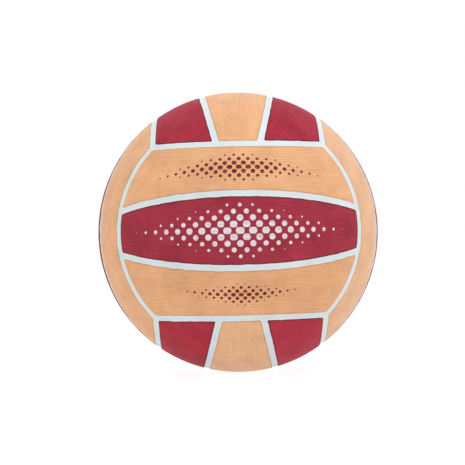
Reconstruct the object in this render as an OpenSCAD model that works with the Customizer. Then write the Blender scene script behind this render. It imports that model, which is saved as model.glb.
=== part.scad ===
// Water polo ball of the larger match size. Eighteen moulded rubber panels sit in a pale net of
// channel strips, over a rubber carcass, a wound nylon layer and a butyl bladder with a needle valve.
// The ball's centre is the origin and +Z is up. The face that is seen looks along -Y, and the valve
// is in the middle of the back, on +Y.

/* [Ball] */
// Diameter over the cover panels
ball_d = 210; // [190:1:230]

/* [Cover] */
// Thickness of a cover panel
cover_t = 1.4; // [1.2:0.1:2.4]
// Width of the channel between two strips of a face
channel_w = 4.3; // [3:0.1:6]
// Width of the channel between two faces
border_w = 4.8; // [3:0.1:6]
// Thickness of the strips that floor the channels
strip_t = 1.05; // [0.6:0.05:1.15]
// Radius that rounds the edge of a panel
edge_r = 0.3; // [0.2:0.05:0.6]
// Angle from the middle of a face to each of its two inner seams
seam_a = 14.1; // [11:0.1:17]
// Draft of the panels' end and border walls, so that they leave the mould
draft_a = 2; // [1:0.5:4]

/* [Casing] */
// Thickness of the rubber carcass under the cover
carcass_t = 0.6; // [0.4:0.1:1.5]
// Thickness of the wound nylon layer
winding_t = 0.4; // [0.3:0.1:1]
// Thickness of the bladder's wall
bladder_t = 0.7; // [0.5:0.1:1.5]
// Film of cement between two layers, and between the pieces of the valve
film_t = 0.05; // [0.03:0.01:0.1]

/* [Valve] */
// Diameter of the neck that passes through the wall
neck_d = 12; // [11:0.5:16]
// Depth of the neck's face below the cover
neck_sink = 0.3; // [0.1:0.1:1]
// Diameter of the flange that is bonded inside the bladder
flange_d = 42; // [30:1:60]
// Thickness of the flange at its rim
flange_rim_t = 0.8; // [0.5:0.1:2]
// Length of the tube below the flange
tube_l = 13; // [10:0.5:20]
// Diameter of the tube at its lower end
tube_end_d = 10.5; // [10:0.1:12]
// Diameter of the plug's head
head_d = 8; // [7.5:0.1:9]
// Thickness of the plug's head
head_t = 1.8; // [1:0.1:3]
// Diameter of the plug's shank
shank_d = 5.6; // [5:0.1:6.5]
// Length of the plug's bulb, below the shank
bulb_l = 5; // [3:0.5:6]
// Diameter of the plug's bulb
bulb_d = 8; // [7:0.1:8.6]
// Length of the cone that narrows the bulb to the shank
bulb_cone_l = 1; // [0.5:0.1:2]
// Diameter of the pilot hole that guides the needle
pilot_d = 2.5; // [2.2:0.1:3]
// Depth of the pilot hole
pilot_l = 6; // [5:0.5:9]
// Diameter of the funnel at the mouth of the pilot hole
funnel_d = 4; // [3.4:0.1:5]

/* [Balance patch] */
// Diameter of the patch that balances the valve
patch_d = 36; // [24:1:50]
// Thickness of the patch at its rim
patch_rim_t = 1; // [0.5:0.1:2]

/* [Hidden] */
$fn = 180;
edge_fn = 48;

ball_r = ball_d / 2;
panel_base_r = ball_r - cover_t;
strip_top_r = panel_base_r + strip_t;
carcass_r = panel_base_r - film_t;
winding_r = carcass_r - carcass_t - film_t;
bladder_r = winding_r - winding_t - film_t;
bladder_in_r = bladder_r - bladder_t;
lining_r = bladder_in_r - film_t;

// The border seams are the six circles through the corners of the cube inside the ball
border_a = acos(1 / sqrt(3));
// Angle that half the width of the channel between two faces spans
half_border_a = border_w / 2 / ball_r * 180 / PI;
// How far an edge's arc reaches past the two surfaces that it blends
edge_bite = edge_r / 40;
// How far a cutter reaches past the cover
cut_reach = ball_r / 4;

// Valve heights along its axis, from the ball's centre
neck_top = ball_r - neck_sink;
flange_low = sqrt(pow(lining_r, 2) - pow(flange_d / 2, 2)) - flange_rim_t;
tube_low = flange_low - tube_l;
bulb_top = tube_low + bulb_l;
patch_low = sqrt(pow(lining_r, 2) - pow(patch_d / 2, 2)) - patch_rim_t;

RED = "#a13d4a";
PEACH = "#e6b384";
PALE = "#dde6e6";

// Each face: its name, the turn that brings it from +Z to its place, and its strips' names
FACES = [
    ["front", [90, 0, 0], ["lower", "middle", "upper"]],
    ["back", [90, 0, 180], ["lower", "middle", "upper"]],
    ["left", [0, -90, 0], ["front", "middle", "back"]],
    ["right", [0, 90, 0], ["front", "middle", "back"]],
    ["top", [0, 0, -90], ["left", "middle", "right"]],
    ["bottom", [180, 0, 90], ["left", "middle", "right"]]
];
STRIPS = [-1, 0, 1];

function panel_name(face, strip) = str(face[0], "_", face[2][strip + 1], "_panel");
function is_polar(face) = face[0] == "top" || face[0] == "bottom";
function panel_colour(face, strip) = (strip == 0) != is_polar(face) ? RED : PEACH;

// Point of a profile at radius r and polar angle a from the axis that it turns about
function polar(r, a) = r * [sin(a), cos(a)];

// Tilts +Z by angle a towards +Y, across the strips of a face
module tilt(a) {
    rotate([-a, 0, 0]) children();
}

// Spherical shell, with its poles on X, clear of the panels of the face at +Z
module shell(outer_r, inner_r) {
    rotate([0, 90, 0]) difference() {
        sphere(outer_r);
        sphere(inner_r);
    }
}

// Solid cone about +Z whose wall meets the cover at polar angle a and leans to polar angle w
module wall_cone(a, w) {
    rim = polar(ball_r, a);
    low = rim.y - cut_reach;
    high = ball_r + cut_reach;
    translate([0, 0, low])
        cylinder(high - low, rim.x - cut_reach * tan(w), rim.x + (high - rim.y) * tan(w));
}

// Ring that rounds the edge where a wall, leaning to polar angle w, meets the cover at polar angle a
module edge_ring(a, w) {
    inset = edge_r - edge_bite;
    rotate_extrude() translate(polar(ball_r, a)) rotate(-w)
        translate([inset, -inset * (1 - sin(w - a)) / cos(w - a)]) difference() {
            translate([-2 * edge_r, 0]) square(2 * edge_r);
            circle(edge_r, $fn = edge_fn);
        }
}

// Prism over one strip of the face at +Z, whose walls keep a gap from its inner seams
module strip_prism(strip, gap) {
    far = ball_r + cut_reach;
    wide = far * tan(seam_a);
    foot = gap / sin(seam_a);
    side = gap / cos(seam_a);
    rotate([90, 0, 90]) linear_extrude(2 * far, center = true)
        polygon(
            strip == 0
            ? [[0, foot], [wide, foot + far], [-wide, foot + far]]
            : [[strip * side, 0], [strip * (side + wide), far], [strip * far, far], [strip * far, 0]]
        );
}

// Piece of a shell that one strip of the face at +Z covers, wider by film all round
module strip_blank(strip, outer_r, inner_r, film = 0) {
    film_a = film / ball_r * 180 / PI;
    end_a = border_a - half_border_a + film_a;
    side_a = border_a + half_border_a - film_a;
    difference() {
        intersection() {
            shell(outer_r, inner_r);
            wall_cone(end_a, end_a - draft_a);
            strip_prism(strip, channel_w / 2 - film);
        }
        if (strip != 0) tilt(strip * 90) wall_cone(side_a, side_a + draft_a);
    }
}

// Strip of the face at +Z with its ends, its inner edges and its outer edge rounded in turn
module rounded_strip(strip) {
    end_a = 180 - border_a + half_border_a;
    side_a = border_a + half_border_a;
    seam_wall_a = 90 + asin(channel_w / 2 / ball_r);
    seam_sides = strip == 0 ? [90 + seam_a, -90 - seam_a] : [strip * (seam_a - 90)];
    difference() {
        difference() {
            difference() {
                strip_blank(strip, ball_r, panel_base_r);
                rotate([180, 0, 90]) edge_ring(end_a, end_a + draft_a);
            }
            for (a = seam_sides) tilt(a) edge_ring(seam_wall_a, 90);
        }
        if (strip != 0) tilt(strip * 90) edge_ring(side_a, side_a + draft_a);
    }
}

// One moulded cover panel, with walls that lean by the draft and rounded edges
module cover_panel(face, strip) {
    color(panel_colour(face, strip)) difference() {
        rotate(face[1]) rounded_strip(strip);
        if (face[0] == "back" && strip == 0) neck_hole();
    }
}

// Net of pale strips that floors all the channels, with one window for each panel
module channel_net() {
    color(PALE) difference() {
        shell(strip_top_r, panel_base_r);
        for (face = FACES, strip = STRIPS)
            rotate(face[1])
                strip_blank(strip, ball_r + cut_reach / 4, ball_r - cut_reach / 4, film_t);
    }
}

// Hole in each layer of the wall for the neck of the valve
module neck_hole() {
    on_valve_axis() translate([0, 0, ball_r / 2]) cylinder(ball_r, d = neck_d + 2 * film_t);
}

module on_valve_axis() {
    rotate([-90, 0, 0]) children();
}

// One closed layer of the wall, with the hole for the neck
module wall_layer(outer_r, t) {
    difference() {
        shell(outer_r, outer_r - t);
        neck_hole();
    }
}

module carcass() {
    color("#c9b79a") wall_layer(carcass_r, carcass_t);
}

module thread_winding() {
    color("#efe9da") wall_layer(winding_r, winding_t);
}

module bladder() {
    color("#2b2b2e") wall_layer(bladder_r, bladder_t);
}

// Half profile of the stepped plug, grown by g for the bore that holds it
module plug_profile(g = 0) {
    head_low = neck_top - head_t;
    polygon([
        [0, tube_low - 2 * g], [bulb_d / 2 + g, tube_low - 2 * g], [bulb_d / 2 + g, bulb_top - bulb_cone_l],
        [shank_d / 2 + g, bulb_top + g], [shank_d / 2 + g, head_low - g],
        [head_d / 2 + g, head_low - g], [head_d / 2 + g, ball_r + g], [0, ball_r + g]
    ]);
}

// Moulded rubber body: a neck through the wall, a flange on the bladder and a tube for the plug
module valve_body() {
    color("#3a3432") on_valve_axis() rotate_extrude() difference() {
        union() {
            intersection() {
                circle(neck_top);
                translate([0, flange_low]) square([neck_d / 2, cover_t + ball_r - flange_low]);
            }
            intersection() {
                circle(lining_r);
                translate([0, flange_low]) square([flange_d / 2, ball_r]);
            }
            polygon([
                [0, tube_low], [tube_end_d / 2, tube_low],
                [neck_d / 2, flange_low], [0, flange_low + flange_rim_t]
            ]);
        }
        plug_profile(film_t);
    }
}

// Soft self-sealing plug with the pilot hole and its funnel
module valve_plug() {
    color("#1d1c1c") on_valve_axis() rotate_extrude() difference() {
        intersection() {
            circle(neck_top);
            plug_profile();
        }
        translate([0, neck_top - pilot_l]) square([pilot_d / 2, ball_r - neck_top + pilot_l]);
        polygon([
            [0, neck_top - funnel_d / 2], [funnel_d / 2, neck_top], [funnel_d / 2, ball_r], [0, ball_r]
        ]);
    }
}

// Patch bonded inside the bladder, opposite the valve, as a counterweight to it
module balance_patch() {
    color("#38383c") mirror([0, 1, 0]) on_valve_axis() rotate_extrude() intersection() {
        circle(lining_r);
        translate([0, patch_low]) square([patch_d / 2, ball_r - patch_low]);
    }
}

for (face = FACES, strip = STRIPS)
    cover_panel(face, strip);
channel_net();
carcass();
thread_winding();
bladder();
valve_body();
valve_plug();
balance_patch();
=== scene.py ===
import math

import bpy
import numpy as np
from mathutils import Euler, Matrix, Vector
from mathutils.geometry import delaunay_2d_cdt


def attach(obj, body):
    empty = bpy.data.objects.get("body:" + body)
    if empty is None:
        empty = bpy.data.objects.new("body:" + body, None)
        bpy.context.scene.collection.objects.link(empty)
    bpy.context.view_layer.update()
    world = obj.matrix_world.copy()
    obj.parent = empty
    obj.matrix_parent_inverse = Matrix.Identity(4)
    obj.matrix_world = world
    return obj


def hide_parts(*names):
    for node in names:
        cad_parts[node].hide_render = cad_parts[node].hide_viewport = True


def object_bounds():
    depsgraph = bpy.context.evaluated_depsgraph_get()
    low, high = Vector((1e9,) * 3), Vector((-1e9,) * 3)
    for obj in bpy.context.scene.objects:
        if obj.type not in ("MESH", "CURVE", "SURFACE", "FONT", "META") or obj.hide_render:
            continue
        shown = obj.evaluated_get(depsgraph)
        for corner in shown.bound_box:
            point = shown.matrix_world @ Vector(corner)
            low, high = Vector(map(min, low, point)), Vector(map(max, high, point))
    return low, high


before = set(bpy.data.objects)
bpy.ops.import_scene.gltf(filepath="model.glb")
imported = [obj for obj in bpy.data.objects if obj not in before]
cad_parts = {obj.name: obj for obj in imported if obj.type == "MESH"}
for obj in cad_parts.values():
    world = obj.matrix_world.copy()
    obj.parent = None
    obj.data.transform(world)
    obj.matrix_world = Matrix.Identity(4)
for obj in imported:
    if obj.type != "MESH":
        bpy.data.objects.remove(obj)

# A water polo ball: eighteen moulded rubber panels in a net of pale channel strips, cured onto a
# carcass that is wound with nylon round a bladder. Pieces are made in millimetres, in the frame of
# the CAD: the ball's centre is the origin, the seen face looks along -Y and the valve is on +Y.
cad_low, cad_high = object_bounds()


# Cover panels. Each face of the ball carries three strips of natural rubber, dyed red or peach.
# They are moulded with a rounded edge and with fine grip ridges that lie in planes across the
# face, and are cured onto the carcass.

MM = 0.001
ball_r = cad_high.x / MM
panel_base_r = 103.6
# Heights are given over the ball's radius, so that of a panel's underside is negative
base_height = panel_base_r - ball_r
channel_w = 4.3
border_w = 4.8
# Angles of the borders from a face's axis, and of the inner seams from its middle plane
border_a = math.acos(1 / math.sqrt(3))
seam_a = math.radians(14.1)
valve_hole_r = 6.05

# Rounding of a panel's corners and edge, and how deep and how far in it falls away there
corner_blend = 1.3
edge_width = 0.55
edge_height = 0.36
edge_steps = 6
pillow_drop = 0.06
pillow_reach = 3.0

# The ridged field starts this far in from the wall, and its points keep a gap from there
field_inset = 1.0
field_gap = 0.12
ridge_pitch = 1.25
ridge_height = 0.13
# Rows of points in one pitch, and the way over which the ridges rise to their full height
ridge_rows = 5
ridge_fade = 1.3
column_step = 4.0
underside_step = 6.0

# Each face: its outward axis n, the axis t along its strips, and its strips from the -c side to
# the +c side, where c = n x t
FACES = {
    "front": ((0, -1, 0), (1, 0, 0), ("lower", "middle", "upper")),
    "back": ((0, 1, 0), (-1, 0, 0), ("lower", "middle", "upper")),
    "left": ((-1, 0, 0), (0, 0, 1), ("front", "middle", "back")),
    "right": ((1, 0, 0), (0, 0, 1), ("back", "middle", "front")),
    "top": ((0, 0, 1), (0, 1, 0), ("right", "middle", "left")),
    "bottom": ((0, 0, -1), (0, 1, 0), ("left", "middle", "right")),
}


def smooth_min(a, b, blend):
    """The smaller of a and b, with the corner between them rounded."""
    share = np.clip(blend - np.abs(a - b), 0, None) / blend
    return np.minimum(a, b) - share * share * blend / 4


def inset(p, kind):
    """How far the unit points p (t, c, n parts) lie inside a panel's wall, in millimetres."""
    t, c, n = np.moveaxis(p, -1, 0)
    ends = ball_r * (border_a - np.arccos(np.clip(n, -1, 1))) - border_w / 2
    below = math.sin(seam_a) * n - math.cos(seam_a) * c
    if kind == "outer":
        side = ball_r * np.arcsin(np.clip(-below, -1, 1)) - channel_w / 2
        border = ball_r * (np.arccos(np.clip(c, -1, 1)) - border_a) - border_w / 2
        return smooth_min(ends, smooth_min(side, border, corner_blend), corner_blend)
    above = math.sin(seam_a) * n + math.cos(seam_a) * c
    upper = ball_r * np.arcsin(np.clip(below, -1, 1)) - channel_w / 2
    lower = ball_r * np.arcsin(np.clip(above, -1, 1)) - channel_w / 2
    return smooth_min(ends, smooth_min(upper, lower, corner_blend), corner_blend)


def strip_tilt(kind):
    """Angle from the face's middle plane to the strip's own middle plane."""
    return (seam_a + math.pi / 2 - border_a) / 2 if kind == "outer" else 0.0


def to_lay(p, tilt):
    """Flat points, as millimetres along and across the strip, of unit points by face axes."""
    t, c, n = np.moveaxis(p, -1, 0)
    across = np.arcsin(np.clip(c * math.cos(tilt) - n * math.sin(tilt), -1, 1))
    along = np.arctan2(t, n * math.cos(tilt) + c * math.sin(tilt))
    return np.stack([along, across], -1) * ball_r


def from_lay(lay, tilt):
    """Unit points, by face axes, of flat points."""
    along, across = np.moveaxis(lay / ball_r, -1, 0)
    deep = np.cos(across) * np.cos(along)
    high = np.sin(across)
    return np.stack([
        np.cos(across) * np.sin(along),
        high * math.cos(tilt) + deep * math.sin(tilt),
        deep * math.cos(tilt) - high * math.sin(tilt),
    ], -1)


# Rings shrink towards a strip's middle line, of this half length; the search for a ring's place
# runs from that line to this share of the way out to the loop that it moves, in so many halvings
core_reach = 70.0
search_share = 1.4
search_steps = 40


def ring_at(kind, tilt, loop, depth):
    """Moves a loop of flat points towards the strip's middle line until it lies depth inside."""
    core = np.stack([np.clip(loop[:, 0], -core_reach, core_reach), np.zeros(len(loop))], -1)
    near = np.zeros((len(loop), 1))
    far = np.full((len(loop), 1), search_share)
    for _ in range(search_steps):
        middle = (near + far) / 2
        deeper = inset(from_lay(core + (loop - core) * middle, tilt), kind)[:, None] > depth
        near, far = np.where(deeper, middle, near), np.where(deeper, far, middle)
    return core + (loop - core) * near


# An outline starts as a fine oval of this half length and half width; in the end its points are
# about a step apart on a straight stretch, and closer where it turns
oval_length = 100.0
oval_width = 25.0
oval_points = 8001
evening_rounds = 3
outline_step = 3.0
outline_turn = math.radians(9)


def resample(points, places, marks):
    """Flat points at the marks along a line whose own points are at places."""
    return np.stack([np.interp(marks, places, points[:, axis]) for axis in range(2)], -1)


def panel_outline(kind, tilt):
    """Flat points round a panel's wall, closer together where it turns a corner."""
    angles = np.linspace(0, 2 * math.pi, oval_points)
    fine = np.stack([oval_length * np.cos(angles), oval_width * np.sin(angles)], -1)
    fine = ring_at(kind, tilt, fine, 0.0)
    for _ in range(evening_rounds):
        steps = np.diff(fine, axis=0)
        length = np.concatenate([[0], np.cumsum(np.hypot(steps[:, 0], steps[:, 1]))])
        fine = resample(fine, length, np.linspace(0, length[-1], len(fine)))
        fine = ring_at(kind, tilt, fine, 0.0)
    steps = np.diff(fine, axis=0)
    heading = np.unwrap(np.arctan2(steps[:, 1], steps[:, 0]))
    turn = np.abs(np.diff(heading, prepend=heading[0]))
    gaps = np.hypot(steps[:, 0], steps[:, 1]) / outline_step + turn / outline_turn
    weight = np.concatenate([[0], np.cumsum(gaps)])
    # A multiple of four, so that the four quarters of the outline are alike
    count = int(round(weight[-1] / 4)) * 4
    loop = resample(fine, weight, np.linspace(0, weight[-1], count, endpoint=False))
    return ring_at(kind, tilt, loop, 0.0)


def ring_profile():
    """Distances in from the wall, and heights, up a panel's edge."""
    turns = np.linspace(0, math.pi / 2, edge_steps)
    depths = [0.0] + list(edge_width * (1 - np.cos(turns))) + [field_inset]
    heights = [base_height] + list(edge_height * (np.sin(turns) - 1)) + [0.0]
    return np.array(depths), np.array(heights)


def pillow(depth):
    """How far the rubber falls away from the full radius near a panel's edge."""
    return -pillow_drop * np.exp(-(depth / pillow_reach) ** 2)


def encloses(loop, spot):
    """Whether a flat spot lies inside a closed loop of flat points."""
    ahead = np.roll(loop, -1, 0)
    spans = (loop[:, 1] > spot[1]) != (ahead[:, 1] > spot[1])
    a, b = loop[spans], ahead[spans]
    crossing = a[:, 0] + (spot[1] - a[:, 1]) * (b[:, 0] - a[:, 0]) / (b[:, 1] - a[:, 1])
    return np.count_nonzero(crossing > spot[0]) % 2 == 1


# What the triangulation gives back, triangles within the edges alone, and its tolerance
within_edges = 1
fill_tolerance = 1e-7


def fill(loops, inner, rows, hole=None):
    """Triangles that fill the first loop of flat points and run along every other one, with inner
    points joined along rows. The loop with the number hole bounds a hole."""
    points, edges, owners = [], [], []
    for number, loop in enumerate(loops):
        first = len(points)
        points += [tuple(p) for p in loop]
        owners += [number] * len(loop)
        edges += [(first + i, first + (i + 1) % len(loop)) for i in range(len(loop))]
    first = len(points)
    points += [tuple(p) for p in inner]
    owners += [None] * len(inner)
    edges += [(first + a, first + b) for a, b in rows]
    _, _, faces, origin, _, _ = delaunay_2d_cdt(points, edges, [], within_edges, fill_tolerance, True)
    found = []
    for face in faces:
        corners = tuple(origin[i][0] for i in face)
        held_by = {owners[i] for i in corners}
        in_hole = held_by == {hole} and hole is not None
        outside = held_by == {0} and not encloses(loops[0], np.mean([points[i] for i in corners], 0))
        if not in_hole and not outside:
            found.append(corners)
    return found


# A lattice starts a little wider than its strip, by this angle; its points are linked in rows
# only this much further in than they are kept
lattice_margin = 0.05
link_gap = 0.4


def lattice(kind, column, row, clear):
    """Unit points in columns and rows, clear of a panel's wall, and the links along its rows. The
    rows lie in planes across c, as the ridges do."""
    columns = int(ball_r * (border_a + lattice_margin) / column) + 1
    rows = int(ball_r * (math.pi / 2 - border_a + lattice_margin) / row) + 1
    grid = from_lay(np.stack(np.meshgrid(
        np.arange(-columns, columns + 1) * column,
        np.arange(-rows, rows + 1) * row,
    ), -1), 0.0)
    depth = inset(grid, kind)
    kept = depth > clear
    linked = depth > clear + link_gap
    number = np.where(kept, np.cumsum(kept).reshape(kept.shape) - 1, -1)
    links = [
        (number[j, i], number[j, i + 1])
        for j in range(kept.shape[0])
        for i in range(kept.shape[1] - 1)
        if linked[j, i] and linked[j, i + 1]
    ]
    return grid[kept], links


# Points round the valve's hole, and the width over which depths from the wall and from the hole
# are blended
hole_points = 64
hole_blend = 1.0


def hole_ring(depth):
    """Unit points, by face axes, round the valve's hole, depth away from its wall."""
    polar = (valve_hole_r + depth) / ball_r
    around = np.linspace(0, 2 * math.pi, hole_points, endpoint=False)
    return np.stack([
        math.sin(polar) * np.cos(around),
        math.sin(polar) * np.sin(around),
        np.full(hole_points, math.cos(polar)),
    ], -1)


def clear_of_hole(field, links):
    """Which flat points of a ridged field are clear of the valve's hole, and the links of those."""
    reach = valve_hole_r + field_inset
    clear = np.hypot(field[:, 0], field[:, 1]) > reach + field_gap
    number = np.cumsum(clear) - 1
    kept = []
    for a, b in links:
        across_hole = field[a][0] * field[b][0] <= 0 and abs(field[a][1]) < reach
        if clear[a] and clear[b] and not across_hole:
            kept.append((number[a], number[b]))
    return clear, kept


class PanelMould:
    """Gathers a panel's unit points, with their heights and their depths inside the wall, and its
    faces."""

    def __init__(self):
        self.points, self.heights, self.depths, self.faces = [], [], [], []
        self.count = 0

    def add_points(self, points, heights, depths):
        """Adds points and gives back their numbers."""
        first = self.count
        self.count += len(points)
        self.points.append(points)
        self.heights.append(np.broadcast_to(heights, len(points)))
        self.depths.append(np.broadcast_to(depths, len(points)))
        return list(range(first, self.count))

    def add_edge(self, rings, at_hole):
        """Adds the rings up a rounded edge, joined by quads, and gives back their numbers."""
        depths, heights = ring_profile()
        numbers = [self.add_points(*ring) for ring in zip(rings, heights, depths)]
        for low, high in zip(numbers, numbers[1:]):
            for i in range(len(low)):
                j = (i + 1) % len(low)
                a, b = (j, i) if at_hole else (i, j)
                self.faces.append((low[a], low[b], high[b], high[a]))
        return numbers

    def add_skin(self, loops, inner, numbers, rows, hole, order):
        """Fills the loops of flat points, and runs each triangle's corners in the given order."""
        self.faces += [tuple(numbers[i] for i in f[::order]) for f in fill(loops, inner, rows, hole)]


def panel_plan(kind, holed):
    """A panel before it is laid on its face: points, heights, faces and places for its rubber."""
    tilt = strip_tilt(kind)
    mould = PanelMould()
    edge_depths, _ = ring_profile()
    outline = panel_outline(kind, tilt)
    edges = [[from_lay(ring_at(kind, tilt, outline, depth), tilt) for depth in edge_depths]]
    if holed:
        edges.append([hole_ring(depth) for depth in edge_depths])
    numbers = [mould.add_edge(rings, at_hole=i > 0) for i, rings in enumerate(edges)]
    hole = 1 if holed else None

    field_points, links = lattice(kind, column_step, ridge_pitch / ridge_rows, field_inset + field_gap)
    field = to_lay(field_points, tilt)
    if holed:
        clear, links = clear_of_hole(field, links)
        field, field_points = field[clear], field_points[clear]
    field_depth = inset(field_points, kind)
    if holed:
        hole_depth = np.hypot(field[:, 0], field[:, 1]) - valve_hole_r
        field_depth = smooth_min(field_depth, hole_depth, hole_blend)
    upper = [i for rings in numbers for i in rings[-1]] + mould.add_points(field_points, 0.0, field_depth)
    mould.add_skin([to_lay(rings[-1], tilt) for rings in edges], field, upper, links, hole, 1)
    top_faces = len(mould.faces)

    under = to_lay(lattice(kind, underside_step, underside_step, underside_step / 3)[0], tilt)
    if holed:
        under = under[np.hypot(under[:, 0], under[:, 1]) > valve_hole_r + underside_step / 3]
    lower = [i for rings in numbers for i in rings[0]]
    lower += mould.add_points(from_lay(under, tilt), base_height, 0.0)
    mould.add_skin([to_lay(rings[0], tilt) for rings in edges], under, lower, [], hole, -1)

    points = np.concatenate(mould.points)
    heights = np.concatenate(mould.heights)
    return {
        "points": points,
        "height": heights,
        "lay": np.column_stack([to_lay(points, 0.0), np.concatenate(mould.depths)]),
        "strip": np.column_stack([to_lay(points, tilt), np.zeros(len(points))]),
        "faces": mould.faces,
        "top_faces": top_faces,
        "is_top": heights > base_height,
    }


# The mould's unevenness: each ridge's own share of the full height, and the lengths and shares of
# the slow waves along it
ridge_shares = (0.35, 0.85)
ridge_waves = ((17, 0.14), (7.3, 0.10), (3.1, 0.08))
ridge_lines = 200
crown_power = 0.8


def ridge(lay, seed):
    """Depth below the crown of the moulded grip ridges, with the mould's small unevenness."""
    along, across, depth = lay.T
    draw = np.random.default_rng(seed)
    line = np.round(across / ridge_pitch).astype(int)
    phases = draw.uniform(0, 2 * math.pi, (len(ridge_waves), ridge_lines))
    uneven = draw.uniform(*ridge_shares, ridge_lines)[line]
    for (length, share), phase in zip(ridge_waves, phases):
        uneven = uneven + share * np.sin(along / length + phase[line])
    wave = (0.5 + 0.5 * np.cos(2 * math.pi * across / ridge_pitch)) ** crown_power
    fade = np.clip((depth - field_inset) / ridge_fade, 0, 1)
    return -ridge_height * (1 - wave) * uneven * fade * fade * (3 - 2 * fade)


def mesh_piece(name, points, faces, flat_from=None):
    """A mesh object from points in metres, shaded smooth up to face flat_from."""
    mesh = bpy.data.meshes.new(name)
    mesh.from_pydata([tuple(p) for p in points], [], faces)
    smooth = np.ones(len(mesh.polygons), bool)
    if flat_from is not None:
        smooth[flat_from:] = False
    mesh.polygons.foreach_set("use_smooth", smooth)
    piece = bpy.data.objects.new(name, mesh)
    bpy.context.scene.collection.objects.link(piece)
    return piece


def keep_places(piece, name, places):
    """Keeps a place for each point on the mesh, for its material to read by name."""
    held = piece.data.attributes.new(name, "FLOAT_VECTOR", "POINT")
    held.data.foreach_set("vector", places.astype(np.float32).ravel())


PLANS = {
    "outer": panel_plan("outer", False),
    "middle": panel_plan("middle", False),
    "holed": panel_plan("middle", True),
}
# Added to each panel's distances along, so that no two panels share their streaks
panel_offset = 1000.0


def panel_axes(face, strip):
    """The t, c and n axes of a face, turned half round for its strip -1."""
    n, t = np.array(FACES[face][0], float), np.array(FACES[face][1], float)
    c = np.cross(n, t)
    return np.stack([-t, -c, n] if strip == -1 else [t, c, n])


def strip_name(face, strip):
    """Face and strip in words: strip is -1, 0 or 1."""
    return f"{face}_{FACES[face][2][strip + 1]}"


def make_panel(face, strip, number):
    """One cover panel of a face."""
    kind = "outer" if strip else "holed" if face == "back" else "middle"
    plan = PLANS[kind]
    depth = plan["lay"][:, 2]
    rise = plan["height"] + ridge(plan["lay"], number)
    rise[plan["is_top"]] += pillow(depth[plan["is_top"]])
    spots = (plan["points"] @ panel_axes(face, strip)) * (ball_r + rise)[:, None] * MM
    name = strip_name(face, strip)
    piece = mesh_piece(f"{name}_cover", spots, plan["faces"], plan["top_faces"])
    keep_places(piece, "lay", plan["lay"] + np.array([number * panel_offset, 0, 0]))
    keep_places(piece, "strip", plan["strip"])
    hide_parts(f"{name}_panel")
    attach(piece, "root")
    return piece


def feed(tree, socket, value):
    """Links another node's output to a socket, or sets a plain value on it."""
    if isinstance(value, bpy.types.NodeSocket):
        tree.links.new(value, socket)
    else:
        socket.default_value = value


def add_node(tree, kind, *inputs, **settings):
    """Adds a node, sets its properties, and feeds its inputs in order or by name."""
    node = tree.nodes.new(kind)
    named = settings.pop("named", {})
    for key, value in settings.items():
        setattr(node, key, value)
    for key, value in [*enumerate(inputs), *named.items()]:
        feed(tree, node.inputs[key], value)
    return node


def math_node(tree, operation, *inputs):
    return add_node(tree, "ShaderNodeMath", *inputs, operation=operation).outputs[0]


def blend_colour(tree, factor, low, high):
    """Colour mix of low and high by factor."""
    sockets = {0: factor, 6: low, 7: high}
    return add_node(tree, "ShaderNodeMix", data_type="RGBA", named=sockets).outputs[2]


def spread(tree, value, low, high, to_low=0.0, to_high=1.0):
    """Maps value from low..high to to_low..to_high, held at the ends."""
    return add_node(tree, "ShaderNodeMapRange", value, low, high, to_low, to_high).outputs[0]


def noise(tree, place, scale, detail, roughness=0.5):
    """Smooth noise about 0.5 as Fac, and as Color; scale is its waves for each unit of place."""
    return add_node(tree, "ShaderNodeTexNoise", named={
        "Vector": place, "Scale": scale, "Detail": detail, "Roughness": roughness,
    }).outputs


def object_place(tree):
    """Place in the ball's frame, in metres."""
    return add_node(tree, "ShaderNodeTexCoord").outputs["Object"]


def kept_place(tree, name):
    """A place that keep_places put on the mesh."""
    return add_node(tree, "ShaderNodeAttribute", attribute_name=name).outputs["Vector"]


def parts_of(tree, place):
    return add_node(tree, "ShaderNodeSeparateXYZ", place).outputs


def stretched(tree, place, factors):
    """A place with each of its three parts times a factor."""
    return add_node(tree, "ShaderNodeVectorMath", place, factors, operation="MULTIPLY").outputs[0]


FLOAT, COLOUR = "NodeSocketFloat", "NodeSocketColor"


def new_effect(name, takes, gives):
    """A shader node group, its named inputs with their first values, and its outputs."""
    tree = bpy.data.node_groups.new(name, "ShaderNodeTree")
    for label, kind, start in takes:
        socket = tree.interface.new_socket(label, in_out="INPUT", socket_type=kind)
        socket.default_value = start
    for label, kind in gives:
        tree.interface.new_socket(label, in_out="OUTPUT", socket_type=kind)
    entry = tree.nodes.new("NodeGroupInput")
    leave = tree.nodes.new("NodeGroupOutput")
    return tree, entry.outputs, leave.inputs


# Rubber stock: clouds in the dye, soft streaks along the ridges, a tone for each single ridge that
# changes every centimetre or so, painted shade in the grooves between the ridges with a painted
# highlight on their crowns, and specks. Clouds and specks are so many to the metre, and streaks and ridge
# tones so many to the millimetre.
cloud_scale = 60.0
speck_scale = 1400.0
streak_stretch = (0.03, 0.5, 0.0)
tone_scale = 0.055
# How far apart in the noise two ridges take their tones, so that neighbours differ
tone_apart = 7.31
stock_roughness = 0.6

stock, take, give = new_effect(
    "rubber_stock",
    [("Colour", COLOUR, (1, 1, 1, 1)), ("Cloud", FLOAT, 0.1), ("Streak", FLOAT, 0.2),
     ("Ridge", FLOAT, 0.2), ("Speck", FLOAT, 0.1), ("Groove", FLOAT, 0.0)],
    [("Colour", COLOUR), ("Speck", FLOAT)],
)


def stock_noise(place, scale, detail):
    """Noise of the stock, and the same about zero."""
    value = noise(stock, place, scale, detail, stock_roughness)["Fac"]
    return value, math_node(stock, "SUBTRACT", value, 0.5)


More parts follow.
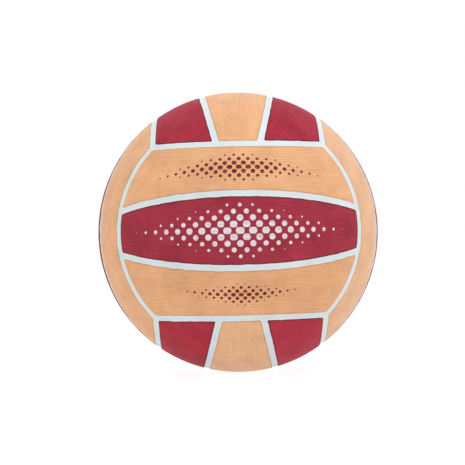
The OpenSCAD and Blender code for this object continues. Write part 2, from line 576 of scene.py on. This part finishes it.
place = object_place(stock)
lay = kept_place(stock, "lay")
along, across, depth = parts_of(stock, lay)
ridge_share = math_node(stock, "DIVIDE", across, ridge_pitch)
ridge_number = math_node(stock, "ROUND", ridge_share)
ridge_place = add_node(
    stock, "ShaderNodeCombineXYZ",
    math_node(stock, "MULTIPLY", along, tone_scale),
    math_node(stock, "MULTIPLY", ridge_number, tone_apart),
).outputs[0]
_, cloud = stock_noise(place, cloud_scale, detail=4.0)
_, streak = stock_noise(stretched(stock, lay, streak_stretch), 1.0, detail=3.0)
ridge_noise, ridge_tone = stock_noise(ridge_place, 1.0, detail=2.0)
speck_noise, speck = stock_noise(place, speck_scale, detail=2.0)

# A ridge's tone is folded, so that it is darker on both sides of the noise's middle and a little
# paler there
tone_fall = 0.65
tone_fold = -1.0
tone_lift = 0.04
fold = math_node(stock, "MAXIMUM", ridge_tone, 0.0)
ridge_tone = math_node(stock, "MULTIPLY", ridge_tone, tone_fall)
ridge_tone = math_node(stock, "MULTIPLY_ADD", fold, tone_fold, ridge_tone)
ridge_tone = math_node(stock, "ADD", ridge_tone, tone_lift)

# Painted shade darkens the grooves in the lower half of the ridges' wave and a painted highlight
# lifts the upper half; both are stronger on some ridges than on others, and fade out with the ridges
# towards the wall
groove_shade_tone = -2.0
crown_highlight_tone = 0.5
ridge_shading_noise = (0.35, 0.65)
ridge_shading_shares = (0.1, 1.0)
wave = math_node(stock, "COSINE", math_node(stock, "MULTIPLY", ridge_share, 2 * math.pi))
painted_ridge_shading = math_node(stock, "MINIMUM", wave, 0.0)
painted_ridge_shading = math_node(stock, "MULTIPLY", painted_ridge_shading, painted_ridge_shading)
painted_ridge_shading = math_node(stock, "MULTIPLY_ADD", painted_ridge_shading, groove_shade_tone, crown_highlight_tone)
in_field = spread(stock, depth, field_inset, field_inset + ridge_fade)
by_ridge = spread(stock, ridge_noise, *ridge_shading_noise, *ridge_shading_shares)
painted_ridge_shading = math_node(stock, "MULTIPLY", painted_ridge_shading, math_node(stock, "MULTIPLY", by_ridge, in_field))

shade = math_node(stock, "MULTIPLY", cloud, take["Cloud"])
for tone, label in ((streak, "Streak"), (ridge_tone, "Ridge"), (painted_ridge_shading, "Groove"), (speck, "Speck")):
    shade = math_node(stock, "ADD", shade, math_node(stock, "MULTIPLY", tone, take[label]))
shade_gain = 2.0
tinted = add_node(stock, "ShaderNodeVectorMath", take["Colour"], operation="SCALE",
                  named={"Scale": math_node(stock, "MULTIPLY_ADD", shade, shade_gain, 1.0)})
stock.links.new(tinted.outputs[0], give["Colour"])
stock.links.new(speck_noise, give["Speck"])

# Edge band: how much of a spot lies within a wavering line that follows the wall; Start and End
# are the line's soft sides, away from the wall, and Ragged how widely it wavers, in millimetres
waver_scale = 150.0
edge_band, take, give = new_effect(
    "edge_band",
    [("Start", FLOAT, 0.3), ("End", FLOAT, 1.2), ("Ragged", FLOAT, 0.5)],
    [("Mask", FLOAT)],
)
_, _, depth = parts_of(edge_band, kept_place(edge_band, "lay"))
waver = noise(edge_band, object_place(edge_band), waver_scale, detail=2.0)["Fac"]
waver = math_node(edge_band, "MULTIPLY", math_node(edge_band, "SUBTRACT", waver, 0.5), take["Ragged"])
depth = math_node(edge_band, "ADD", depth, waver)
edge_band.links.new(spread(edge_band, depth, take["Start"], take["End"], 1.0, 0.0), give["Mask"])

# Moulded skin: a fine stipple of the mould and short drag marks along the ridges, as heights
stipple_scale = 2600.0
drag_stretch = (0.5, 4.0, 0.0)
skin, take, give = new_effect(
    "moulded_skin",
    [("Stipple", FLOAT, 0.5), ("Drag", FLOAT, 0.5)],
    [("Height", FLOAT)],
)
stipple = noise(skin, object_place(skin), stipple_scale, detail=2.0)["Fac"]
drag = noise(skin, stretched(skin, kept_place(skin, "lay"), drag_stretch), 1.0, detail=3.0)["Fac"]
height = math_node(skin, "ADD", math_node(skin, "MULTIPLY", stipple, take["Stipple"]),
                   math_node(skin, "MULTIPLY", drag, take["Drag"]))
skin.links.new(height, give["Height"])

# Printed dots: a field of plain dots that shrink away from its middle, on staggered rows
dots, take, give = new_effect(
    "printed_dots",
    [("Pitch", FLOAT, 6.0), ("Radius", FLOAT, 2.5),
     ("Reach Along", FLOAT, 60.0), ("Reach Across", FLOAT, 15.0)],
    [("Mask", FLOAT)],
)
along, across, _ = parts_of(dots, kept_place(dots, "strip"))
row = math_node(dots, "ROUND", math_node(dots, "DIVIDE", across, take["Pitch"]))
row_place = math_node(dots, "MULTIPLY", row, take["Pitch"])
stagger = math_node(dots, "MULTIPLY", math_node(dots, "FLOORED_MODULO", row, 2.0), take["Pitch"])
column_pitch = math_node(dots, "MULTIPLY", take["Pitch"], 2.0)
column = math_node(dots, "DIVIDE", math_node(dots, "SUBTRACT", along, stagger), column_pitch)
column = math_node(dots, "ROUND", column)
column_place = math_node(dots, "MULTIPLY_ADD", column, column_pitch, stagger)
aside = math_node(dots, "SUBTRACT", along, column_place)
above = math_node(dots, "SUBTRACT", across, row_place)
away = math_node(dots, "SQRT", math_node(dots, "ADD", math_node(dots, "MULTIPLY", aside, aside),
                                         math_node(dots, "MULTIPLY", above, above)))
share_along = math_node(dots, "DIVIDE", math_node(dots, "ABSOLUTE", column_place), take["Reach Along"])
share_across = math_node(dots, "DIVIDE", math_node(dots, "ABSOLUTE", row_place), take["Reach Across"])
fall = math_node(dots, "SUBTRACT", 1.0, math_node(dots, "ADD", share_along, share_across))
size = math_node(dots, "SQRT", math_node(dots, "MAXIMUM", fall, 0.0))
size = math_node(dots, "MULTIPLY", take["Radius"], size)
dots.links.new(math_node(dots, "LESS_THAN", away, size), give["Mask"])

# Worn ink: the share of the surface that the ink still covers, thinner in scores along the ridges
score_stretch = (0.12, 1.3, 0.0)
score_noise = (0.50, 0.68)
worn_ink, take, give = new_effect("worn_ink", [("Wear", FLOAT, 0.5)], [("Cover", FLOAT)])
score_place = stretched(worn_ink, kept_place(worn_ink, "lay"), score_stretch)
scores = noise(worn_ink, score_place, 1.0, detail=3.0)
bare = spread(worn_ink, scores["Fac"], *score_noise)
cover = math_node(worn_ink, "SUBTRACT", 1.0, math_node(worn_ink, "MULTIPLY", bare, take["Wear"]))
worn_ink.links.new(cover, give["Cover"])

WHITE_INK, MAROON_INK = (0.80, 0.76, 0.79), (0.17, 0.012, 0.022)
# Printed strips: the ink, its wear, and the field of dots in millimetres
PRINTS = {
    "front_lower": (
        MAROON_INK, 0.3, {"Pitch": 2.7, "Radius": 1.75, "Reach Along": 44.0, "Reach Across": 9.5}),
    "front_middle": (
        WHITE_INK, 0.55, {"Pitch": 4.4, "Radius": 2.95, "Reach Along": 80.0, "Reach Across": 22.0}),
    "front_upper": (
        MAROON_INK, 0.3, {"Pitch": 3.2, "Radius": 2.1, "Reach Along": 62.0, "Reach Across": 13.0}),
}

# The two rubbers. Grain is the strength of their ridge tones, bloom their faint dusty sheen, and
# the edge entry the colour and the strength of the darker line along the wall, which is partly painted
# shade beside the wall and partly a darker dye.
RED_RUBBER = {
    "dye": (0.388, 0.034, 0.058), "cloud": 0.42, "grain": 0.42, "bloom": 0.01, "gloss": 0.03,
    "edge": ((0.07, 0.006, 0.014, 1), 0.85),
}
PEACH_RUBBER = {
    "dye": (0.80, 0.425, 0.215), "cloud": 0.24, "grain": 0.30, "bloom": 0.16, "gloss": 0.1,
    "edge": ((0.42, 0.16, 0.08, 1), 0.45),
}
# Strips painted with lighter, darker and paler copies of the usual peach and red: painted light and shade
# where the light falls on them unlike on the rest, and on the paler peach strips a painted sheen
LIT_AND_SHADED_DYES = {
    "front_middle": (0.362, 0.037, 0.061),
    "front_lower": (0.775, 0.405, 0.205),
    "right_front": (0.80, 0.46, 0.262),
    "bottom_middle": (0.80, 0.45, 0.25),
    "top_left": (0.380, 0.031, 0.052),
    "top_right": (0.380, 0.029, 0.053),
    "bottom_left": (0.43, 0.035, 0.056),
    "bottom_right": (0.44, 0.037, 0.061),
}
CHANNEL_PALE = (0.68, 0.77, 0.785, 1)
# How widely the lines along a panel's edge waver, and how well crept pale rubber covers the dye
edge_ragged = 1.5
crept_cover = 0.85
# Strength of the streaks, and of the painted groove shade and crown highlight, as shares of the grain
streak_share = 0.3
ridge_shading_share = 0.4


def new_material(name, roughness, specular, **sockets):
    """A material with its Principled shader; constant values go on the shader's own sockets."""
    material = bpy.data.materials.new(name)
    material.use_nodes = True
    tree = material.node_tree
    shader = tree.nodes["Principled BSDF"]
    shader.inputs["Roughness"].default_value = roughness
    shader.inputs["Specular IOR Level"].default_value = specular
    for label, value in sockets.items():
        shader.inputs[label].default_value = value
    return material, tree, shader


def place_effect(tree, effect, **values):
    """Puts a shared effect into a material with its own values."""
    node = tree.nodes.new("ShaderNodeGroup")
    node.node_tree = effect
    for label, value in values.items():
        feed(tree, node.inputs[label], value)
    return node.outputs


# The specks' noise that spans a rubber's range of roughness
speck_range = (0.3, 0.7)


def mottle(tree, shader, speck, smoothest, roughest):
    """Lets the specks of the stock vary the roughness."""
    rough = spread(tree, speck, *speck_range, smoothest, roughest)
    tree.links.new(rough, shader.inputs["Roughness"])


def emboss(tree, shader, height, strength, depth):
    """Gives the shader the normals of a height; depth is in metres."""
    bump = add_node(tree, "ShaderNodeBump", named={
        "Strength": strength, "Distance": depth, "Height": height,
    })
    tree.links.new(bump.outputs[0], shader.inputs["Normal"])


def panel_rubber(name, rubber):
    """Dyed panel rubber: mottled stock, a darker line at the edges that is partly painted shade and partly
    darker dye, satin with a moulded skin.
    """
    material, tree, shader = new_material(
        f"{name}_rubber", roughness=0.5, specular=rubber["gloss"],
        **{"Sheen Weight": rubber["bloom"], "Sheen Roughness": 0.4})
    grain = rubber["grain"]
    # Some strips take a lit or shaded copy of the dye: painted light and shade
    body = place_effect(
        tree, stock, Colour=(*LIT_AND_SHADED_DYES.get(name, rubber["dye"]), 1), Cloud=rubber["cloud"],
        Streak=streak_share * grain, Ridge=grain, Speck=0.10, Groove=ridge_shading_share * grain)
    # A darker line along the wall: partly painted shade on the rounded edge, partly a darker dye
    edge_colour, edge_strength = rubber["edge"]
    edge = place_effect(tree, edge_band, Start=0.5, End=1.1, Ragged=edge_ragged)
    edge_dye_and_shade_mask = math_node(tree, "MULTIPLY", edge["Mask"], edge_strength)
    shaded = blend_colour(tree, edge_dye_and_shade_mask, body["Colour"], edge_colour)
    # Here and there the channel's pale rubber has crept up over the panel's edge
    flash = place_effect(tree, edge_band, Start=0.0, End=0.25, Ragged=edge_ragged)
    crept = math_node(tree, "MULTIPLY", flash["Mask"], crept_cover)
    shaded = blend_colour(tree, crept, shaded, CHANNEL_PALE)
    if name in PRINTS:
        ink, wear, field = PRINTS[name]
        printed = place_effect(tree, dots, **field)["Mask"]
        cover = place_effect(tree, worn_ink, Wear=wear)["Cover"]
        inked = math_node(tree, "MULTIPLY", printed, cover)
        shaded = blend_colour(tree, inked, shaded, (*ink, 1))
    tree.links.new(shaded, shader.inputs["Base Color"])
    mottle(tree, shader, body["Speck"], smoothest=0.44, roughest=0.58)
    relief = place_effect(tree, skin, Stipple=0.4, Drag=0.8)
    emboss(tree, shader, relief["Height"], strength=0.25, depth=0.08 * MM)
    return material


for number, (face, strip) in enumerate((f, s) for f in FACES for s in (-1, 0, 1)):
    panel = make_panel(face, strip, number)
    is_red = (strip == 0) != (face in ("top", "bottom"))
    rubber = RED_RUBBER if is_red else PEACH_RUBBER
    panel.data.materials.append(panel_rubber(strip_name(face, strip), rubber))


# Channel net. One moulding of pale rubber floors every channel between the panels; its strips
# meet at the crossings and are cured to the carcass, with a film of cement beside each panel.

film = 0.05
# Distances out from the panels' walls, and heights, across half a strip
strip_outs = (film, 0.25, 0.6, 1.2)
strip_heights = (-0.27, -0.36, -0.41, -0.44)
strip_middle = -0.45
seam_spacing = 2.0
# Where seams meet, as angles along them: on a border from the middle of its side of a face to an
# inner seam's end and to the corner, and along an inner seam from its middle to its end
tee_a = math.asin(math.tan(seam_a) / math.sqrt(2))
corner_a = math.pi / 4
seam_end_a = math.acos(math.cos(border_a) / math.cos(seam_a))


def stops(marks, turn_r):
    """Angles from the first mark to the last, through each one, about a seam spacing apart."""
    runs = []
    for a, b in zip(marks, marks[1:]):
        count = max(1, round(abs(b - a) * turn_r / seam_spacing))
        runs.append(np.linspace(a, b, count, endpoint=False))
    return np.concatenate(runs)


def circle(axis, u, v, polar, angles):
    """Unit points on the circle at that polar angle about axis, turning from u to v."""
    axis, u, v = (np.array(x, float) for x in (axis, u, v))
    around = np.cos(angles)[:, None] * u + np.sin(angles)[:, None] * v
    return math.cos(polar) * axis + math.sin(polar) * around


def seam_line(side, start, end):
    """Unit points along an inner seam, on its c side -1 or 1, without the last one."""
    angles = stops((start, end), ball_r)
    middle = np.array([0, side * math.sin(seam_a), math.cos(seam_a)])
    return np.cos(angles)[:, None] * middle + np.sin(angles)[:, None] * np.array([1, 0, 0])


def cell_loop(kind):
    """Unit points, by t, c and n, round the middle of the channels about a panel."""
    t, c, n = np.eye(3)
    turn_r = ball_r * math.sin(border_a)
    if kind == "outer":
        return np.concatenate([
            seam_line(1, -seam_end_a, seam_end_a),
            circle(n, t, c, border_a, stops((tee_a, corner_a), turn_r)),
            circle(c, n, t, border_a, stops((corner_a, tee_a, -tee_a, -corner_a), turn_r)),
            circle(n, -t, c, border_a, stops((corner_a, tee_a), turn_r)),
        ])
    return np.concatenate([
        seam_line(-1, -seam_end_a, seam_end_a),
        circle(n, t, c, border_a, stops((-tee_a, tee_a), turn_r)),
        seam_line(1, seam_end_a, -seam_end_a),
        circle(n, -t, c, border_a, stops((tee_a, -tee_a), turn_r)),
    ])


def strip_plan(kind):
    """The strips round one panel, from the middle of the channels to its wall."""
    tilt = strip_tilt(kind)
    border = cell_loop(kind)
    outline = panel_outline(kind, tilt)
    loops = [to_lay(border, tilt)]
    outs, heights = [np.full(len(border), channel_w / 2)], [np.full(len(border), strip_middle)]
    for out, height in zip(strip_outs, strip_heights):
        loops.append(ring_at(kind, tilt, outline, -out))
        outs.append(np.full(len(outline), out))
        heights.append(np.full(len(outline), height))
    return {
        "points": np.concatenate([border, from_lay(np.concatenate(loops[1:]), tilt)]),
        "height": np.concatenate(heights),
        "out": np.concatenate(outs),
        "faces": fill(loops, [], [], 1),
        "wall": range(len(border), len(border) + len(outline)),
    }


strip_plans = {kind: strip_plan(kind) for kind in ("outer", "middle")}
net_spots, net_outs, net_tops, net_sides, net_index = [], [], [], [], {}
# Two points are the same where they agree to this many decimals of a millimetre
shared_decimals = 3


def net_point(direction, radius, out):
    """Number of a point of the net; points that two panels' strips share are made once."""
    spot = direction * radius
    # Adding zero turns -0.0 into 0.0, so that both find the same point
    key = tuple(np.round(spot, shared_decimals) + 0.0)
    if key not in net_index:
        net_index[key] = len(net_spots)
        net_spots.append(spot * MM)
        net_outs.append(out)
    return net_index[key]


for face in FACES:
    for strip in (-1, 0, 1):
        plan = strip_plans["outer" if strip else "middle"]
        ways = plan["points"] @ panel_axes(face, strip)
        upper = [net_point(p, ball_r + h, o) for p, h, o in zip(ways, plan["height"], plan["out"])]
        lower = [net_point(p, panel_base_r, o) for p, o in zip(ways, plan["out"])]
        net_tops += [tuple(upper[i] for i in f) for f in plan["faces"]]
        net_sides += [tuple(lower[i] for i in f[::-1]) for f in plan["faces"]]
        wall = list(plan["wall"])
        for a, b in zip(wall, wall[1:] + wall[:1]):
            net_sides.append((upper[a], upper[b], lower[b], lower[a]))

net = mesh_piece("channel_strips", net_spots, net_tops + net_sides, len(net_tops))
keep_places(net, "lay", np.column_stack([np.zeros((len(net_outs), 2)), net_outs]))
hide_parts("channel_net")
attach(net, "root")

# Pale rubber, with a painted highlight where its floor rises to a panel's wall
PAINTED_WALL_HIGHLIGHT = (0.82, 0.84, 0.845, 1)
channel_rubber, tree, shader = new_material("channel_rubber", roughness=0.32, specular=0.4)
body = place_effect(tree, stock, Colour=CHANNEL_PALE, Cloud=0.15, Streak=0.0, Ridge=0.0, Speck=0.12)
highlight_band = place_effect(tree, edge_band, Start=0.2, End=1.0, Ragged=0.5)
highlighted = blend_colour(tree, highlight_band["Mask"], body["Colour"], PAINTED_WALL_HIGHLIGHT)
tree.links.new(highlighted, shader.inputs["Base Color"])
net.data.materials.append(channel_rubber)


# Carcass. A sheet of tan rubber, calendered and vulcanised round the wound bladder: matt, clouded
# and stippled, and the ground that the cover is cured onto.

rough_range = 0.08


def dress(node, material):
    """Puts a material on a CAD node."""
    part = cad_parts[node]
    part.data.materials.clear()
    part.data.materials.append(material)


def plain_rubber(name, colour, roughness, specular, cloud, speck, stipple):
    """Undyed rubber of a hidden part: clouded stock, uneven sheen and a moulded stipple."""
    material, tree, shader = new_material(name, roughness, specular)
    body = place_effect(tree, stock, Colour=(*colour, 1), Cloud=cloud, Streak=0.0, Ridge=0.0,
                        Speck=speck)
    tree.links.new(body["Colour"], shader.inputs["Base Color"])
    mottle(tree, shader, body["Speck"], roughness - rough_range, roughness + rough_range)
    relief = place_effect(tree, skin, Stipple=stipple, Drag=0.0)
    emboss(tree, shader, relief["Height"], strength=0.4, depth=0.1 * MM)
    return material, tree, shader, body


dress("carcass", plain_rubber(
    "carcass_rubber", (0.58, 0.47, 0.32),
    roughness=0.75, specular=0.3, cloud=0.3, speck=0.15, stipple=1.0)[0])


# Thread winding. Some thousands of metres of nylon thread, dipped in latex and wound round the
# bladder in all directions, which holds the ball round and to size under pressure.

# The axes that the turns of thread go round
THREAD_AXES = (
    (1, 0, 0), (0, 1, 0), (0, 0, 1),
    (0.58, 0.58, 0.57), (-0.58, 0.58, 0.57), (0.58, -0.58, 0.57),
)
NYLON = (0.85, 0.81, 0.70, 1)
THREAD_GAP_DARK = (0.42, 0.36, 0.26, 1)
# Threads lie this many millimetres apart and stray by about as many lanes as the slack says;
# their straying and their rise and fall have so many waves to the metre
thread_pitch = 0.9
thread_slack = 2.0
wander_scale = 30.0
lift_scale = 90.0
# The turns of one direction are high up to the first of these levels and low beyond the second
lane_levels = (0.35, 0.75)
lane_heights = (1.0, 0.2)

threads, take, give = new_effect(
    "wound_threads",
    [("Pitch", FLOAT, thread_pitch), ("Slack", FLOAT, thread_slack)],
    [("Height", FLOAT)],
)
place = object_place(threads)
outward = add_node(threads, "ShaderNodeVectorMath", place, operation="NORMALIZE").outputs[0]
wander = noise(threads, place, wander_scale, detail=1.0)["Fac"]
lifts = parts_of(threads, noise(threads, place, lift_scale, detail=1.0)["Color"])
crown = 0.0
for number, axis in enumerate(THREAD_AXES):
    level = add_node(threads, "ShaderNodeVectorMath", outward, axis,
                     operation="DOT_PRODUCT").outputs["Value"]
    arc = math_node(threads, "MULTIPLY", math_node(threads, "ARCSINE", level), ball_r)
    lane = math_node(threads, "DIVIDE", arc, take["Pitch"])
    lane = math_node(threads, "MULTIPLY_ADD", wander, take["Slack"], lane)
    wave = math_node(threads, "SINE", math_node(threads, "MULTIPLY", lane, math.pi))
    wave = math_node(threads, "ABSOLUTE", wave)
    near_middle = spread(threads, math_node(threads, "ABSOLUTE", level), *lane_levels, *lane_heights)
    laid = math_node(threads, "MULTIPLY", wave, near_middle)
    laid = math_node(threads, "MULTIPLY", laid, lifts[number % 3])
    crown = math_node(threads, "MAXIMUM", crown, laid)
threads.links.new(crown, give["Height"])

nylon, tree, shader = new_material(
    "wound_nylon", roughness=0.55, specular=0.35, **{"Sheen Weight": 0.2})
wound = place_effect(tree, threads, Pitch=thread_pitch, Slack=thread_slack)
body = place_effect(tree, stock, Colour=NYLON, Cloud=0.2, Streak=0.0, Ridge=0.0, Speck=0.1)
# Between the threads the colour is darker, and rougher than the threads
between = spread(tree, wound["Height"], 0.15, 0.5, to_low=0.75, to_high=0.0)
shaded = blend_colour(tree, between, body["Colour"], THREAD_GAP_DARK)
tree.links.new(shaded, shader.inputs["Base Color"])
rough = spread(tree, wound["Height"], 0.1, 0.6, to_low=0.75, to_high=0.45)
tree.links.new(rough, shader.inputs["Roughness"])
emboss(tree, shader, wound["Height"], strength=0.8, depth=0.3 * MM)
dress("thread_winding", nylon)


# Bladder and balance patch. The bladder is black butyl rubber, moulded and dusted with chalk so
# that it doesn't stick; the patch is glued inside it opposite the valve, on a buffed place.

CHALK = (0.45, 0.45, 0.44, 1)
chalk_scale = 55.0
chalk_noise = (0.48, 0.75)
chalk_cover = 0.35
butyl, tree, shader, body = plain_rubber(
    "butyl_rubber", (0.024, 0.024, 0.027),
    roughness=0.45, specular=0.4, cloud=0.4, speck=0.2, stipple=0.6)
dust = noise(tree, object_place(tree), chalk_scale, detail=8.0, roughness=0.7)["Fac"]
dust = spread(tree, dust, *chalk_noise, 0.0, chalk_cover)
dusted = blend_colour(tree, dust, body["Colour"], CHALK)
tree.links.new(dusted, shader.inputs["Base Color"])
dress("bladder", butyl)
dress("balance_patch", plain_rubber(
    "patch_rubber", (0.04, 0.04, 0.045),
    roughness=0.7, specular=0.3, cloud=0.5, speck=0.5, stipple=1.0)[0])


# Valve. The body is moulded rubber, bonded into the wall; the plug is pushed into it from
# outside, soft enough to close on the needle's hole, and its head is the dark disc on the back.

dress("valve_body", plain_rubber(
    "valve_rubber", (0.04, 0.034, 0.032),
    roughness=0.42, specular=0.45, cloud=0.3, speck=0.25, stipple=0.5)[0])
dress("valve_plug", plain_rubber(
    "plug_rubber", (0.014, 0.013, 0.013),
    roughness=0.38, specular=0.5, cloud=0.2, speck=0.2, stipple=0.3)[0])


# Camera. It stands about a metre from the ball, level with its middle, with a long lens. The ball
# is seen turned by about a degree, so the camera is turned round it the other way.

ball_turn = Euler((-0.0118, -0.0192, 0.0144)).to_matrix()
view_distance = 1.0112
camera = bpy.data.objects.new("camera", bpy.data.cameras.new("camera"))
camera.data.lens = 103.63
camera.data.sensor_width = 36
camera.data.shift_x = -0.0120
camera.data.shift_y = -0.0005
camera.data.clip_start = 0.01
bpy.context.scene.collection.objects.link(camera)
camera.matrix_world = (
    ball_turn.transposed().to_4x4()
    @ Matrix.Translation((0, -view_distance, 0))
    @ Matrix.Rotation(math.pi / 2, 4, "X")
)
bpy.context.scene.camera = camera


# Studio. A white tent with a broad soft lamp above and to the right, and a pale floor under the
# ball, which reads as white but keeps a soft shadow where the ball stands.


def blend_value(tree, factor, low, high):
    """Mix of the values low and high by factor."""
    return add_node(tree, "ShaderNodeMix", named={0: factor, 2: low, 3: high}).outputs[0]


# The tent's light, and what it gains to the right, to the back and above
tent_light = 0.78
tent_gains = (0.04, 0.18, 0.16)
world = bpy.data.worlds.new("white_tent")
bpy.context.scene.world = world
world.use_nodes = True
tree = world.node_tree
backdrop = tree.nodes["Background"]
backdrop.inputs["Color"].default_value = (1, 1, 1, 1)
way = parts_of(tree, add_node(tree, "ShaderNodeTexCoord").outputs["Generated"])
light = tent_light
for part, gain in zip(way, tent_gains):
    light = math_node(tree, "MULTIPLY_ADD", part, gain, light)
# Seen straight, in gloss or through glass, the tent is plain white
ray = add_node(tree, "ShaderNodeLightPath").outputs
seen = math_node(tree, "MAXIMUM", ray["Is Camera Ray"], ray["Is Glossy Ray"])
seen = math_node(tree, "MAXIMUM", seen, ray["Is Transmission Ray"])
tree.links.new(blend_value(tree, seen, light, 1.0), backdrop.inputs["Strength"])

lamp_spot = Vector((0.4, -0.5, 1.6))
softbox = bpy.data.lights.new("key_lamp", "AREA")
softbox.size = 1.6
softbox.energy = 10.0
key_lamp = bpy.data.objects.new("key_lamp", softbox)
key_lamp.location = lamp_spot
key_lamp.rotation_euler = (-lamp_spot).to_track_quat("-Z", "Y").to_euler()
bpy.context.scene.collection.objects.link(key_lamp)

floor_half = 6.0
floor = mesh_piece(
    "studio_floor",
    [(x * floor_half, y * floor_half, cad_low.z) for x, y in ((-1, -1), (1, -1), (1, 1), (-1, 1))],
    [(0, 1, 2, 3)],
)
# For the ball, the floor glows as painted bounce light, and glows less close to the ball as a painted
# shadow in that glow; seen by the camera it glows evenly
shade_near, shade_far = 0.11, 0.22
painted_bounce_near, painted_bounce_far = 0.67, 0.78
floor_shows = 0.88
floor_white, tree, shader = new_material("floor_white", roughness=0.9, specular=0.1)
shader.inputs["Base Color"].default_value = (0.25, 0.25, 0.25, 1)
from_ball = add_node(tree, "ShaderNodeVectorMath", object_place(tree), operation="LENGTH").outputs["Value"]
painted_bounce = spread(tree, from_ball, shade_near, shade_far, painted_bounce_near, painted_bounce_far)
ray = add_node(tree, "ShaderNodeLightPath").outputs
glow = blend_value(tree, ray["Is Camera Ray"], painted_bounce, floor_shows)
shader.inputs["Emission Color"].default_value = (1, 1, 1, 1)
tree.links.new(glow, shader.inputs["Emission Strength"])
# Seen from below, the floor lets the ball show
under = add_node(tree, "ShaderNodeNewGeometry").outputs["Backfacing"]
tree.links.new(math_node(tree, "SUBTRACT", 1.0, under), shader.inputs["Alpha"])
floor.data.materials.append(floor_white)

bpy.context.scene.view_settings.view_transform = "Standard"
